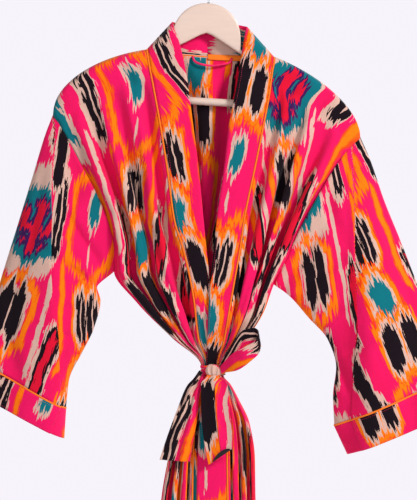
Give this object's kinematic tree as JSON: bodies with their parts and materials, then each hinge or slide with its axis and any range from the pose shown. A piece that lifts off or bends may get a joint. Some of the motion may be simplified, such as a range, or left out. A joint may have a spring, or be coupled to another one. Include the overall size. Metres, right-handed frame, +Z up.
{
  "type": "kimono robe on a hanger",
  "caption": "printed cotton kimono robe hung on a wooden hanger, open V neck with a long neckband, wide sleeves with cuffs, drawn in at the waist by its sash tied in a half bow",
  "frame": {"origin": "where the inside of the hanger's hook bears on a rail", "axes": "+X to the viewer's right as the robe faces the viewer, -Y out of the front of the robe, +Z up"},
  "size_m": [0.8047, 0.0994, 1.3389],
  "materials": {
    "robe_cloth": "plain-woven cotton, printed",
    "sash_cloth": "plain-woven cotton, printed",
    "piping": "bias-cut cotton over a cord",
    "pale_wood": "smooth, clear satin lacquer",
    "hook_steel": "bright wire"
  },
  "bodies": {
    "root": {"back_panel": "robe_cloth", "left_front": "robe_cloth", "right_front": "robe_cloth", "left_sleeve": "robe_cloth", "right_sleeve": "robe_cloth", "left_cuff": "robe_cloth", "right_cuff": "robe_cloth", "left_neckband": "robe_cloth", "right_neckband": "robe_cloth", "hanging_loop": "robe_cloth", "left_neck_piping": "piping", "right_neck_piping": "piping", "left_cuff_piping": "piping", "right_cuff_piping": "piping", "sash_tie": "sash_cloth", "sash_knot": "sash_cloth", "sash_bow_loop": "sash_cloth", "sash_middle_tail": "sash_cloth", "sash_side_tail": "sash_cloth", "hanger_wood": "pale_wood", "hanger_bar": "pale_wood", "hanger_hook": "hook_steel"}
  },
  "joints": []
}
